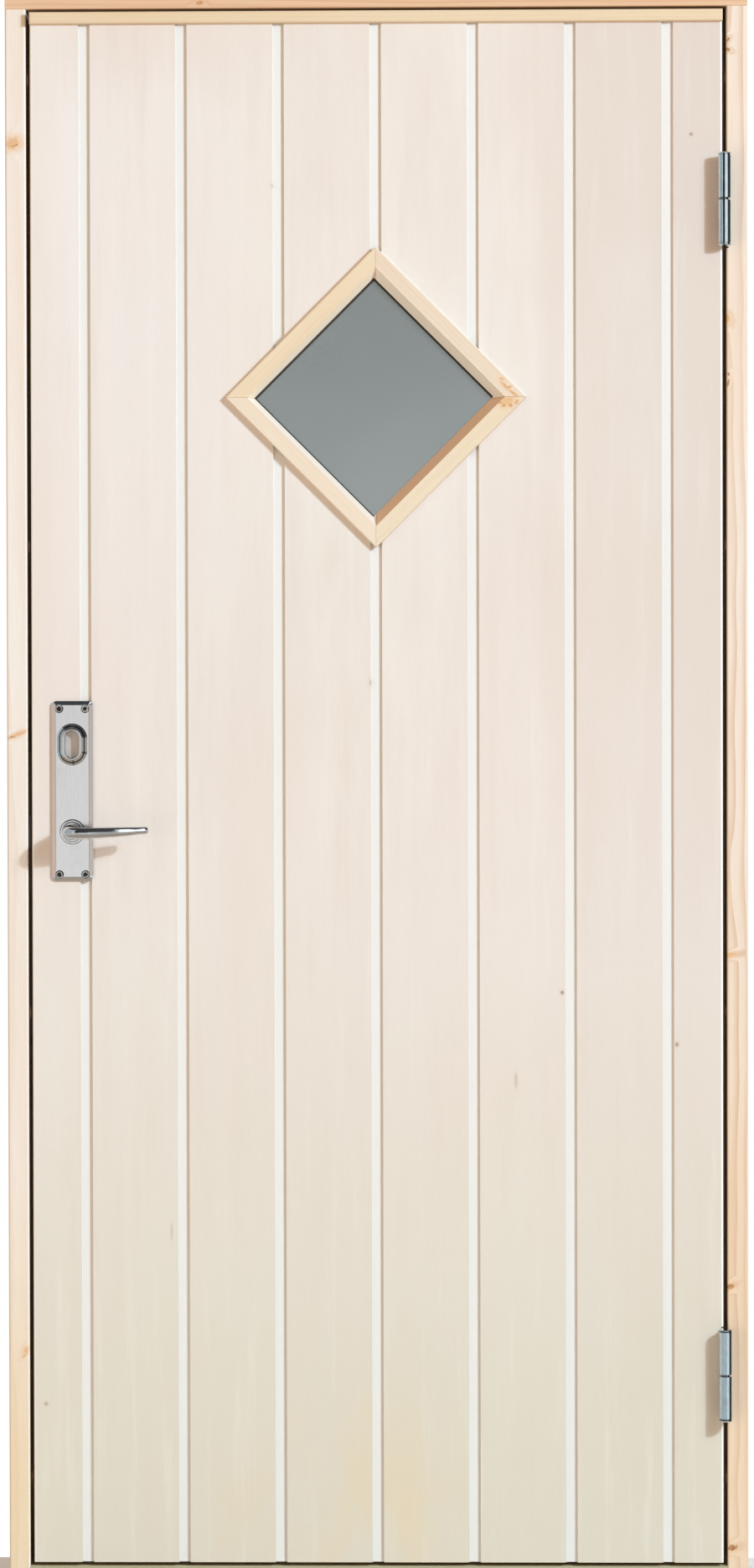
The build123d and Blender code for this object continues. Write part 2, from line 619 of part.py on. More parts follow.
# --------------------------------------------------------------------- hinges
HH = HINGE_H / 2
for hname, hz in (("lower", HINGE_ZS[0]), ("upper", HINGE_ZS[1])):
    # half on the frame: knuckle, pin and plate let into the jamb
    with BuildPart() as fh:
        with BuildSketch(Plane.XY.offset(hz - HH)):
            with Locations((HINGE_X, HINGE_Y)):
                Circle(HINGE_R)
        extrude(amount=HH - SPLIT)
        chamfer(fh.edges().group_by(Axis.Z)[0], 0.8)
        with BuildSketch(Plane.XY.offset(hz - HH + 1.9)):
            with Locations((HINGE_X, HINGE_Y)):
                Circle(HINGE_R + 1)
                Circle(HINGE_R - 0.8, mode=Mode.SUBTRACT)
        extrude(amount=1.4, mode=Mode.SUBTRACT)
        with BuildSketch(Plane.XY.offset(hz - HH + 1)):
            with Locations((OX + HPLATE_T / 2, (HINGE_Y + Y0 + 34) / 2)):
                Rectangle(HPLATE_T, Y0 + 34 - HINGE_Y)
        extrude(amount=HH - 1.2 - SPLIT)
        with BuildSketch(Plane.XY.offset(hz - SPLIT)):
            with Locations((HINGE_X, HINGE_Y)):
                Circle(HINGE_R - 2.7)
        extrude(amount=2 * SPLIT - 0.3)
        with BuildSketch(Plane.XY.offset(hz - SPLIT)):
            with Locations((HINGE_X, HINGE_Y)):
                Circle(PIN_R)
        extrude(amount=HH - 6)
        with BuildSketch(Plane.YZ.offset(OX - 1)):
            with Locations((Y0 + 14, hz - HH + 13), (Y0 + 25, hz - HH / 2 + 1), (Y0 + 14, hz - 13)):
                Circle(2.4)
        extrude(amount=HPLATE_T + 2, mode=Mode.SUBTRACT)
    save(fh.part, hname + "_hinge_frame_half")
    # half on the leaf: knuckle with a blind hole, and plate let into the edge
    with BuildPart() as lh:
        with BuildSketch(Plane.XY.offset(hz + SPLIT)):
            with Locations((HINGE_X, HINGE_Y)):
                Circle(HINGE_R)
        extrude(amount=HH - SPLIT)
        chamfer(lh.edges().group_by(Axis.Z)[-1], 0.8)
        with BuildSketch(Plane.XY.offset(hz + HH - 3.3)):
            with Locations((HINGE_X, HINGE_Y)):
                Circle(HINGE_R + 1)
                Circle(HINGE_R - 0.8, mode=Mode.SUBTRACT)
        extrude(amount=1.4, mode=Mode.SUBTRACT)
        with BuildSketch(Plane.XY.offset(hz + SPLIT + 0.2)):
            with Locations((LX - HPLATE_T / 2, (HINGE_Y + Y0 + 34) / 2)):
                Rectangle(HPLATE_T, Y0 + 34 - HINGE_Y)
        extrude(amount=HH - SPLIT - 1.2)
        with BuildSketch(Plane.XY.offset(hz)):
            with Locations((HINGE_X, HINGE_Y)):
                Circle(PIN_R + PIN_CLEAR)
        extrude(amount=HH - 4.5, mode=Mode.SUBTRACT)
        with BuildSketch(Plane.YZ.offset(LX - HPLATE_T - 1)):
            with Locations((Y0 + 14, hz + HH - 13), (Y0 + 25, hz + HH / 2 - 1), (Y0 + 14, hz + 13)):
                Circle(2.4)
        extrude(amount=HPLATE_T + 2, mode=Mode.SUBTRACT)
    save(lh.part, hname + "_hinge_leaf_half")
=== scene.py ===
import math

import bmesh
import bpy
from mathutils import Matrix, Vector


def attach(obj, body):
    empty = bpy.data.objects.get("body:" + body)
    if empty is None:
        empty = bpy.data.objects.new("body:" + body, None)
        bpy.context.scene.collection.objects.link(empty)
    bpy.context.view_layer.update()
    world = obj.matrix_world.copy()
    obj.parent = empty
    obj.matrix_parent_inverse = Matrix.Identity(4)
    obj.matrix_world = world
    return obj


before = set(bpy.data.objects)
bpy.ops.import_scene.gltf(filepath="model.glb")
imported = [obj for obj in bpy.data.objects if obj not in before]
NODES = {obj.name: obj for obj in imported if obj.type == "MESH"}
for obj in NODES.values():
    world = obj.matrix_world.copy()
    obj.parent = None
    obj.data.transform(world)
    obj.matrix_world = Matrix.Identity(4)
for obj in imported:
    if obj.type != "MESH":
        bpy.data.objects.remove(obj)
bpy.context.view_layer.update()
scene = bpy.context.scene


# ------------------------------------------------------------------ helpers
def lin(r, g, b):
    """Linear colour of an 8-bit display colour."""

    def f(c):
        c = c / 255.0
        return c / 12.92 if c <= 0.04045 else ((c + 0.055) / 1.055) ** 2.4

    return (f(r), f(g), f(b), 1.0)


class Tree:
    """Builds one shader tree; every call returns a socket."""

    def __init__(self, owner):
        owner.use_nodes = True
        self.nt = owner.node_tree
        self.nt.nodes.clear()

    def new(self, kind, **props):
        n = self.nt.nodes.new(kind)
        for k, v in props.items():
            setattr(n, k, v)
        return n

    def put(self, socket, value):
        if value is None:
            return
        if isinstance(value, bpy.types.NodeSocket):
            self.nt.links.new(value, socket)
        elif isinstance(value, (tuple, list)) and socket.type == "VECTOR":
            socket.default_value = value[:3]
        else:
            socket.default_value = value

    def math(self, op, a, b=None, c=None, clamp=False):
        n = self.new("ShaderNodeMath", operation=op, use_clamp=clamp)
        for i, v in enumerate((a, b, c)):
            if v is not None:
                self.put(n.inputs[i], v)
        return n.outputs[0]

    def add(self, *vals):
        out = vals[0]
        for v in vals[1:]:
            out = self.math("ADD", out, v)
        return out

    def mul(self, *vals):
        out = vals[0]
        for v in vals[1:]:
            out = self.math("MULTIPLY", out, v)
        return out

    def smooth(self, x, lo, hi, a=0.0, b=1.0):
        n = self.new("ShaderNodeMapRange", interpolation_type="SMOOTHSTEP")
        for i, v in enumerate((x, lo, hi, a, b)):
            self.put(n.inputs[i], v)
        return n.outputs[0]

    def line(self, x, lo, hi, a=0.0, b=1.0):
        n = self.new("ShaderNodeMapRange", interpolation_type="LINEAR")
        for i, v in enumerate((x, lo, hi, a, b)):
            self.put(n.inputs[i], v)
        return n.outputs[0]

    def mix(self, fac, a, b, blend="MIX"):
        n = self.new("ShaderNodeMix", data_type="RGBA", blend_type=blend)
        self.put(n.inputs[0], fac)
        self.put(n.inputs[6], a)
        self.put(n.inputs[7], b)
        return n.outputs[2]

    def xyz(self, x, y, z):
        n = self.new("ShaderNodeCombineXYZ")
        for i, v in enumerate((x, y, z)):
            self.put(n.inputs[i], v)
        return n.outputs[0]

    def sep(self, v):
        n = self.new("ShaderNodeSeparateXYZ")
        self.put(n.inputs[0], v)
        return n.outputs[0], n.outputs[1], n.outputs[2]

    def coords(self):
        n = self.new("ShaderNodeTexCoord")
        return n.outputs["Object"]

    def normal(self):
        n = self.new("ShaderNodeTexCoord")
        return n.outputs["Normal"]

    def rotate(self, v, axis, angle):
        n = self.new("ShaderNodeVectorRotate", rotation_type=axis)
        self.put(n.inputs["Vector"], v)
        self.put(n.inputs["Angle"], angle)
        return n.outputs[0]

    def noise(self, v, scale=1.0, detail=3.0, rough=0.5, dist=0.0, lac=2.0):
        n = self.new("ShaderNodeTexNoise", noise_dimensions="3D")
        self.put(n.inputs["Vector"], v)
        self.put(n.inputs["Scale"], scale)
        self.put(n.inputs["Detail"], detail)
        self.put(n.inputs["Roughness"], rough)
        self.put(n.inputs["Lacunarity"], lac)
        self.put(n.inputs["Distortion"], dist)
        return n.outputs[0]

    def cells(self, v, scale=1.0, feature="F1", rand=1.0, out=0):
        n = self.new("ShaderNodeTexVoronoi", voronoi_dimensions="3D", feature=feature)
        self.put(n.inputs["Vector"], v)
        self.put(n.inputs["Scale"], scale)
        self.put(n.inputs["Randomness"], rand)
        return n.outputs[out]

    def ramp(self, fac, stops, smooth=False):
        n = self.new("ShaderNodeValToRGB")
        n.color_ramp.interpolation = "EASE" if smooth else "LINEAR"
        el = n.color_ramp.elements
        while len(el) < len(stops):
            el.new(0.5)
        for e, (p, c) in zip(el, stops):
            e.position = p
            e.color = c if isinstance(c, (tuple, list)) else (c, c, c, 1.0)
        self.put(n.inputs[0], fac)
        return n.outputs[0]

    def bump(self, height, strength=0.3, distance=0.001, normal=None):
        n = self.new("ShaderNodeBump")
        self.put(n.inputs["Height"], height)
        n.inputs["Strength"].default_value = strength
        n.inputs["Distance"].default_value = distance
        if normal is not None:
            self.put(n.inputs["Normal"], normal)
        return n.outputs[0]


def surface(name, colour, rough, bump=None, metallic=0.0, spec=0.5, coat=0.0, coat_rough=0.2, aniso=0.0):
    """Finishes a Tree as a Principled surface."""

    def done(t):
        out = t.new("ShaderNodeOutputMaterial")
        b = t.new("ShaderNodeBsdfPrincipled")
        t.put(b.inputs["Base Color"], colour)
        t.put(b.inputs["Roughness"], rough)
        b.inputs["Metallic"].default_value = metallic
        b.inputs["Specular IOR Level"].default_value = spec
        b.inputs["Coat Weight"].default_value = coat
        b.inputs["Coat Roughness"].default_value = coat_rough
        b.inputs["Anisotropic"].default_value = aniso
        if bump is not None:
            t.put(b.inputs["Normal"], bump)
        t.nt.links.new(b.outputs[0], out.inputs[0])
        return b

    return done


def spot(t, x, z, px, pz, rx, rz, angle=0.0, wobble=None):
    """Distance from a point of the door's face, 1 at the edge of a turned ellipse
    whose outline a wobble makes uneven."""
    c, s = math.cos(math.radians(angle)), math.sin(math.radians(angle))
    dx, dz = t.math("SUBTRACT", x, px), t.math("SUBTRACT", z, pz)
    a = t.add(t.mul(dx, c / rx), t.mul(dz, s / rx))
    b = t.add(t.mul(dx, -s / rz), t.mul(dz, c / rz))
    d = t.math("SQRT", t.add(t.mul(a, a), t.mul(b, b)))
    return d if wobble is None else t.add(d, wobble)


MID_Y = -0.029  # half way through the leaf's thickness
JAMB_X = 0.4177  # rebate faces of the jambs
FACE_Y = -0.049  # outer face of the leaf


# ---------------------------------------------------------------- materials
def pine(
    name,
    grain="Z",
    early=(243, 226, 205),
    late=(222, 184, 143),
    heart=(0.05, 0.09),
    pitch=0.0036,
    contrast=0.75,
    knots=(),
    tint=None,
    seed=0.0,
    rough=0.55,
    warp=0.010,
    fade=None,
    painted_gap_shade=False,
    bevel_light_tint=None,
    marks=(),
):
    """Planed softwood. grain is the direction of the fibres; heart is where the
    tree's axis lies across the grain, so the rings show as lines or arches.
    knots are (x, z, radius along, radius across, angle, halo, core, darkness)."""
    m = bpy.data.materials.new(name)
    t = Tree(m)
    P = t.coords()
    x, y, z = t.sep(P)
    if grain == "X":
        V = t.xyz(z, y, x)
    elif grain == "A":  # fibres from lower left to upper right
        V = t.rotate(P, "Y_AXIS", math.radians(45))
        V = t.xyz(*[t.sep(V)[i] for i in (2, 1, 0)])
    elif grain == "B":  # fibres from upper left to lower right
        V = t.rotate(P, "Y_AXIS", math.radians(-45))
        V = t.xyz(*[t.sep(V)[i] for i in (2, 1, 0)])
    else:
        V = P
    u, v, w = t.sep(V)
    slow = t.noise(t.xyz(t.mul(u, 7.0), t.mul(v, 7.0), t.add(t.mul(w, 1.3), seed)), 1.0, 3.0, 0.55)
    mid = t.noise(t.xyz(t.mul(u, 60.0), t.mul(v, 60.0), t.add(t.mul(w, 3.5), seed)), 1.0, 2.0, 0.5)
    du = t.math("SUBTRACT", u, heart[0])
    dv = t.math("SUBTRACT", v, heart[1])
    r = t.math("SQRT", t.add(t.mul(du, du), t.mul(dv, dv)))
    r = t.add(r, t.mul(t.math("SUBTRACT", slow, 0.5), warp * 2), t.mul(t.math("SUBTRACT", mid, 0.5), 0.0016))
    wob = t.mul(t.math("SUBTRACT", t.noise(t.xyz(t.mul(x, 260.0), t.mul(y, 260.0), t.mul(z, 260.0)), 1.0, 3.0, 0.6), 0.5), 1.5)
    dist = [spot(t, x, z, kx, kz, ra, rb, ang, wob) for kx, kz, ra, rb, ang, halo, core, dark in knots]
    for d in dist:
        r = t.add(r, t.mul(t.smooth(d, 4.0, 0.3), 0.0040))
    phase = t.math("FRACT", t.math("DIVIDE", r, pitch))
    ring = t.ramp(phase, ((0.0, 0.0), (0.45, 0.12), (0.84, 0.85), (0.93, 1.0), (1.0, 0.0)))
    width = t.noise(t.xyz(t.mul(u, 30.0), t.mul(v, 30.0), t.add(t.mul(w, 1.0), seed + 7.0)), 1.0, 2.0, 0.5)
    ring = t.mul(ring, t.smooth(width, 0.25, 0.75, 0.35, 1.0), contrast)
    fibre = t.noise(t.xyz(t.mul(u, 1500.0), t.mul(v, 1500.0), t.add(t.mul(w, 22.0), seed)), 1.0, 2.0, 0.6)
    streak = t.noise(t.xyz(t.mul(u, 420.0), t.mul(v, 420.0), t.add(t.mul(w, 5.0), seed + 3.0)), 1.0, 3.0, 0.65)
    broad = t.noise(t.xyz(t.mul(u, 14.0), t.mul(v, 14.0), t.add(t.mul(w, 2.2), seed + 11.0)), 1.0, 3.0, 0.5)
    e = lin(*early)
    l_ = lin(*late)
    col = t.mix(ring, e, l_)
    warm = lin(early[0] - 6, early[1] - 16, early[2] - 26)
    col = t.mix(t.smooth(broad, 0.4, 0.75, 0.0, 0.55), col, warm)
    col = t.mix(t.smooth(streak, 0.55, 0.80, 0.0, 0.35 * contrast), col, l_)
    col = t.mix(t.smooth(fibre, 0.30, 0.75, 0.08, 0.0), col, lin(150, 110, 74))
    if fade is not None:  # (colour at the foot, height where it ends)
        col = t.mix(t.smooth(z, fade[1], fade[2], fade[3], 0.0), col, lin(*fade[0]), "MULTIPLY")
    fleck = t.noise(t.xyz(t.mul(x, 700.0), t.mul(y, 700.0), t.mul(z, 700.0)), 1.0, 2.0, 0.6)
    for (kx, kz, ra, rb, ang, halo, core, dark), d in zip(knots, dist):
        col = t.mix(t.smooth(d, 2.6, 0.5, 0.0, halo), col, lin(236, 193, 148))
        deep = t.mix(dark, lin(224, 160, 100), lin(126, 78, 50))
        pale = t.mix(dark, lin(238, 190, 138), lin(196, 138, 92))
        col = t.mix(t.smooth(d, 1.25, 0.55, 0.0, core), col, t.mix(t.smooth(fleck, 0.35, 0.62), deep, pale))
    # marks are flecks and dark joints, and at the mouldings' top tip painted shade
    for kx, kz, ra, rb, ang, amount, shade in marks:
        d = spot(t, x, z, kx, kz, ra, rb, ang, t.mul(wob, 0.35))
        col = t.mix(t.smooth(d, 1.15, 0.6, 0.0, amount), col, lin(*shade))
    if bevel_light_tint is not None:  # inner slope of a moulding, tinted as painted light and shade
        slope = t.mul(t.smooth(t.math("ABSOLUTE", t.math("SUBTRACT", y, MID_Y)), 0.0279, 0.0272), bevel_light_tint[1])
        col = t.mix(slope, col, lin(*bevel_light_tint[0]))
    if painted_gap_shade == "stops":  # painted shade on the narrow strips of the stops that show through the running gap
        stop_gap_shade = t.mul(t.smooth(t.math("ABSOLUTE", x), 0.4120, 0.4126), t.smooth(y, 0.0022, 0.0016))
        col = t.mix(t.mul(stop_gap_shade, 0.8), col, lin(188, 186, 178))
    elif painted_gap_shade:  # faces in the running gap, painted dark as shade
        side = t.smooth(t.math("ABSOLUTE", x), JAMB_X + 0.0006, JAMB_X + 0.0003)
        crown = t.mul(t.smooth(z, 1.8800, 1.8803), t.smooth(z, 1.8812, 1.8806))
        gap_shaded_faces = t.math("MAXIMUM", t.mul(side, t.smooth(z, 1.895, 1.885)), crown) if painted_gap_shade == "head" else side
        gap_shade_depth = t.mul(t.smooth(y, -0.0440, -0.0380), t.smooth(y, -0.0030, -0.0036))
        col = t.mix(t.mul(gap_shaded_faces, gap_shade_depth, 0.80), col, lin(122, 117, 108))
        if painted_gap_shade != "head":  # painted highlight along the planed arris of the lock jamb
            painted_arris_highlight = t.mul(t.smooth(x, -0.4198, -0.4188), t.smooth(x, -0.40, -0.4170), t.smooth(y, -0.0440, -0.0450))
            col = t.mix(t.mul(painted_arris_highlight, 0.6), col, lin(250, 244, 236))
    if tint is not None:
        col = t.mix(1.0, col, lin(*tint), "MULTIPLY")
    height = t.add(t.mul(ring, 0.35), t.mul(fibre, 0.5), t.mul(streak, 0.25))
    rg = t.add(t.mul(ring, -0.08), t.mul(fibre, 0.10), rough)
    surface(name, col, rg, t.bump(height, 0.22, 0.0006), spec=0.35)(t)
    return m


def board(name, outside=True):
    """Grooved veneer board under a thin pale wash, grain upright."""
    m = bpy.data.materials.new(name)
    t = Tree(m)
    P = t.coords()
    x, y, z = t.sep(P)
    nx, ny, nz = t.sep(t.normal())
    s = 0.0 if outside else 5.3
    # broad tone: cream, pinker to the right and up, yellower to the foot
    cloud = t.noise(t.xyz(t.mul(x, 2.6), s, t.mul(z, 1.1)), 1.0, 3.0, 0.55)
    patch = t.noise(t.xyz(t.mul(x, 9.0), s + 2.0, t.mul(z, 2.2)), 1.0, 4.0, 0.6)
    tall = t.noise(t.xyz(t.mul(x, 46.0), s + 4.0, t.mul(z, 2.6)), 1.0, 4.0, 0.62)
    fine = t.noise(t.xyz(t.mul(x, 420.0), s, t.mul(z, 16.0)), 1.0, 3.0, 0.6)
    hair = t.noise(t.xyz(t.mul(x, 1500.0), s, t.mul(z, 60.0)), 1.0, 2.0, 0.6)
    fleck = t.noise(t.xyz(t.mul(x, 900.0), s + 9.0, t.mul(z, 130.0)), 1.0, 1.0, 0.5)
    col = t.mix(t.smooth(patch, 0.35, 0.68), lin(242, 234, 225), lin(236, 225, 215))
    col = t.mix(t.mul(t.smooth(cloud, 0.36, 0.66), 0.75), col, lin(238, 222, 211))
    right = t.smooth(t.add(x, t.mul(t.math("SUBTRACT", cloud, 0.5), 0.5)), 0.05, 0.48)
    up = t.smooth(z, 0.55, 1.75, 0.35, 1.0)
    col = t.mix(t.mul(right, up, 0.85), col, lin(221, 204, 192))
    left = t.mul(t.smooth(x, -0.08, -0.30), t.smooth(z, 0.8, 1.5), t.smooth(z, 1.86, 1.74), t.smooth(x, -0.41, -0.36))
    col = t.mix(t.mul(left, 0.5), col, lin(245, 241, 238))
    low = t.smooth(t.add(z, t.mul(t.math("SUBTRACT", patch, 0.5), 0.35)), 0.95, 0.02)
    col = t.mix(t.mul(low, 0.85), col, lin(220, 210, 187))
    # one strip differs a little from the next
    strip = t.math("FLOOR", t.math("DIVIDE", t.add(x, 0.0002), 0.1158))
    wn = t.new("ShaderNodeTexWhiteNoise", noise_dimensions="1D")
    t.put(wn.inputs["W"], t.add(strip, 3.7 + s))
    col = t.mix(t.mul(wn.outputs[0], 0.16), col, lin(222, 208, 192))
    # upright grain
    col = t.mix(t.smooth(tall, 0.48, 0.76, 0.0, 0.26), col, lin(226, 207, 190))
    col = t.mix(t.smooth(tall, 0.47, 0.25, 0.0, 0.24), col, lin(248, 243, 236))
    col = t.mix(t.smooth(fine, 0.56, 0.82, 0.0, 0.12), col, lin(208, 184, 164))
    col = t.mix(t.smooth(hair, 0.35, 0.75, 0.04, 0.0), col, lin(176, 150, 126))
    col = t.mix(t.smooth(fleck, 0.72, 0.84, 0.0, 0.10), col, lin(188, 160, 134))
    # soft stains near the foot and a warm streak here and there
    warmth = t.noise(t.xyz(t.mul(x, 11.0), s + 1.0, t.mul(z, 3.4)), 1.0, 4.0, 0.6)
    zone = t.mul(t.smooth(z, 0.34, 0.05), t.smooth(t.math("ABSOLUTE", t.add(x, 0.03)), 0.26, 0.02))
    col = t.mix(t.mul(zone, t.smooth(warmth, 0.44, 0.66), 0.45), col, lin(232, 205, 162))
    col = t.mix(t.mul(t.smooth(warmth, 0.62, 0.82), 0.22), col, lin(226, 196, 158))
    if outside:
        marks = (
            (-0.1212, 1.6682, 0.0030, 0.0034, 0.55),
            (-0.0057, 1.0760, 0.0026, 0.0050, 0.75),
            (0.1174, 1.1685, 0.0030, 0.0052, 0.60),
            (0.2206, 0.7055, 0.0022, 0.0026, 0.65),
            (0.1654, 0.6004, 0.0022, 0.0110, 0.24),
            (0.3573, 0.6433, 0.0022, 0.0030, 0.60),
            (-0.2467, 0.4201, 0.0018, 0.0110, 0.20),
            (-0.3980, 0.2131, 0.0028, 0.0028, 0.40),
            (0.3755, 1.7276, 0.0022, 0.0024, 0.55),
        )
        for px, pz, rx, rz, k in marks:
            d = spot(t, x, z, px, pz, rx, rz)
            col = t.mix(t.smooth(d, 2.6, 0.6, 0.0, k * 0.35), col, lin(214, 178, 146))
            col = t.mix(t.smooth(d, 1.15, 0.55, 0.0, k), col, lin(136, 110, 92))
    # groove floors are thickly painted
    mid = t.math("ABSOLUTE", t.add(y, 0.029))
    floor_ = t.mul(t.smooth(mid, 0.0182, 0.0172), t.smooth(mid, 0.0160, 0.0164))
    paint = t.mix(t.smooth(t.add(z, t.mul(patch, 0.4)), 0.2, 1.0), lin(233, 228, 220), lin(237, 232, 225))
    paint = t.mix(t.smooth(fine, 0.52, 0.82, 0.0, 0.14), paint, lin(224, 216, 202))
    col = t.mix(t.mul(floor_, 0.96), col, paint)
    # sawn edges of the board
    edge = t.math("MAXIMUM", t.smooth(t.math("ABSOLUTE", x), 0.4105, 0.4118), t.math("MAXIMUM", t.smooth(z, 0.0242, 0.0236), t.smooth(z, 1.8742, 1.8748)))
    edge = t.mul(edge, t.smooth(t.math("ABSOLUTE", ny), 0.75, 0.35))
    plies = t.math("FRACT", t.math("DIVIDE", t.add(mid, 0.0), 0.0018))
    ply = t.mix(t.smooth(plies, 0.35, 0.65), lin(232, 208, 172), lin(206, 168, 122))
    col = t.mix(edge, col, ply)
    # painted shade: the board's edges darken deeper into the gap
    col = t.mix(t.mul(edge, t.smooth(mid, 0.0165, 0.0140), 0.80), col, lin(126, 120, 110))
    # painted highlight along the board's upright arrises
    painted_edge_highlight = t.mul(t.smooth(t.math("ABSOLUTE", x), 0.4098, 0.4106), t.smooth(mid, 0.0172, 0.0178))
    col = t.mix(t.mul(painted_edge_highlight, 0.85), col, lin(252, 249, 243))
    height = t.add(t.mul(fine, 0.5), t.mul(hair, 0.5), t.mul(tall, 0.4))
    rg = t.add(t.mul(fine, 0.12), t.mul(patch, 0.08), 0.50)
    surface(name, col, rg, t.bump(height, 0.16, 0.0005), spec=0.30)(t)
    return m


def satin(name, base=(0.66, 0.66, 0.65), rough=0.34, grain="Z", k=1.0, metallic=1.0, shade_band=None, relief=0.10, crease_shade=False, fade=0.86):
    """Satin plated sheet with a fine directional brushing, wiped by hands."""
    m = bpy.data.materials.new(name)
    t = Tree(m)
    x, y, z = t.sep(t.coords())
    a, b = (1900.0, 60.0) if grain == "Z" else (60.0, 1900.0)
    brush = t.noise(t.xyz(t.mul(x, a), t.mul(y, 1900.0), t.mul(z, b)), 1.0, 3.0, 0.6)
    smear = t.noise(t.xyz(t.mul(x, 38.0), t.mul(y, 38.0), t.mul(z, 24.0)), 1.0, 4.0, 0.6)
    speck = t.cells(t.xyz(t.mul(x, 650.0), t.mul(y, 650.0), t.mul(z, 650.0)), 1.0)
    c0 = (base[0], base[1], base[2], 1.0)
    c1 = (base[0] * fade, base[1] * fade, base[2] * (fade - 0.01), 1.0)
    col = t.mix(t.smooth(brush, 0.3, 0.7), c0, c1)
    col = t.mix(t.smooth(smear, 0.5, 0.75, 0.0, 0.35), col, (base[0] * 0.80, base[1] * 0.78, base[2] * 0.74, 1.0))
    col = t.mix(t.smooth(speck, 0.10, 0.04, 0.0, 0.5), col, (0.12, 0.11, 0.10, 1.0))
    if shade_band is not None:  # painted shade: a dark line round the side of a raised ring
        mid = t.math("ABSOLUTE", t.math("SUBTRACT", y, MID_Y))
        shade_line = t.mul(t.smooth(mid, shade_band[0] - 0.0003, shade_band[0] + 0.0003), t.smooth(mid, shade_band[1] + 0.0003, shade_band[1] - 0.0003))
        col = t.mix(t.mul(shade_line, shade_band[2]), col, (0.05, 0.05, 0.048, 1.0))
    if crease_shade:  # painted shade where the bevels start and round the foot and step of the collar under the lever, stronger over its upper half
        ax = t.math("ABSOLUTE", t.math("SUBTRACT", x, -0.3637))
        az_ = t.math("SUBTRACT", z, 0.8985)
        bevel_shade_line = t.mul(t.smooth(ax, 0.01935, 0.01975), t.smooth(ax, 0.0204, 0.0200))
        col = t.mix(t.mul(bevel_shade_line, 0.45), col, (0.30, 0.27, 0.25, 1.0))
        rr = t.math("SQRT", t.add(t.mul(ax, ax), t.mul(az_, az_)))
        foot = t.mul(t.smooth(rr, 0.0140, 0.0145), t.smooth(rr, 0.0156, 0.0150))
        step = t.mul(t.smooth(rr, 0.0106, 0.0112), t.smooth(rr, 0.0127, 0.0122))
        over = t.smooth(az_, -0.008, 0.006, 0.45, 1.0)
        col = t.mix(t.mul(foot, over, 0.80), col, (0.06, 0.058, 0.055, 1.0))
        col = t.mix(t.mul(step, over, 0.85), col, (0.05, 0.048, 0.045, 1.0))
    rg = t.add(t.mul(brush, 0.14 * k), t.mul(smear, 0.14 * k), rough - 0.12 * k)
    surface(name, col, rg, t.bump(brush, relief, 0.0002), metallic=metallic)(t)
    return m


def polished(name):
    """Polished chrome with faint finger marks and hairline scratches."""
    m = bpy.data.materials.new(name)
    t = Tree(m)
    x, y, z = t.sep(t.coords())
    smear = t.noise(t.xyz(t.mul(x, 55.0), t.mul(y, 55.0), t.mul(z, 55.0)), 1.0, 4.0, 0.6)
    scr = t.noise(t.xyz(t.mul(x, 140.0), t.mul(y, 2600.0), t.mul(z, 2600.0)), 1.0, 2.0, 0.6)
    col = t.mix(t.smooth(smear, 0.45, 0.75), (0.80, 0.81, 0.83, 1), (0.70, 0.70, 0.70, 1))
    col = t.mix(t.smooth(scr, 0.62, 0.75, 0.0, 0.35), col, (0.45, 0.45, 0.46, 1))
    rg = t.add(t.mul(t.smooth(smear, 0.4, 0.8), 0.06), t.mul(t.smooth(scr, 0.6, 0.8), 0.05), 0.05)
    surface(name, col, rg, t.bump(scr, 0.02, 0.0001), metallic=1.0)(t)
    return m


def zinc(name, split=None):
    """Bright zinc plating with a faint blue cast, drawn lines and dull patches."""
    m = bpy.data.materials.new(name)
    t = Tree(m)
    x, y, z = t.sep(t.coords())
    spang = t.cells(t.xyz(t.mul(x, 240.0), t.mul(y, 240.0), t.mul(z, 120.0)), 1.0, out=1)
    spang = t.noise(spang, 3.0, 1.0, 0.5)
    drawn = t.noise(t.xyz(t.mul(x, 900.0), t.mul(y, 900.0), t.mul(z, 40.0)), 1.0, 3.0, 0.6)
    dull = t.noise(t.xyz(t.mul(x, 90.0), t.mul(y, 90.0), t.mul(z, 60.0)), 1.0, 4.0, 0.6)
    col = t.mix(t.smooth(spang, 0.35, 0.65), (0.67, 0.75, 0.79, 1), (0.60, 0.68, 0.73, 1))
    col = t.mix(t.smooth(dull, 0.52, 0.74, 0.0, 0.5), col, (0.52, 0.53, 0.53, 1))
    col = t.mix(t.smooth(drawn, 0.62, 0.80, 0.0, 0.35), col, (0.30, 0.32, 0.34, 1))
    if split is not None:  # grease and shade in the joint between the two halves
        off = t.math("ABSOLUTE", t.math("SUBTRACT", z, split))
        col = t.mix(t.smooth(off, 0.0018, 0.0012, 0.0, 0.8), col, (0.05, 0.055, 0.06, 1))
        ends = t.mul(t.smooth(off, 0.0513, 0.0517), t.smooth(off, 0.0537, 0.0533))
        col = t.mix(t.mul(ends, 0.95 if split < 1.0 else 0.25), col, (0.07, 0.075, 0.08, 1))
    rg = t.add(t.mul(dull, 0.08), t.mul(drawn, 0.05), 0.05)
    surface(name, col, rg, t.bump(t.add(drawn, t.mul(dull, 0.4)), 0.10, 0.0002), metallic=1.0)(t)
    return m


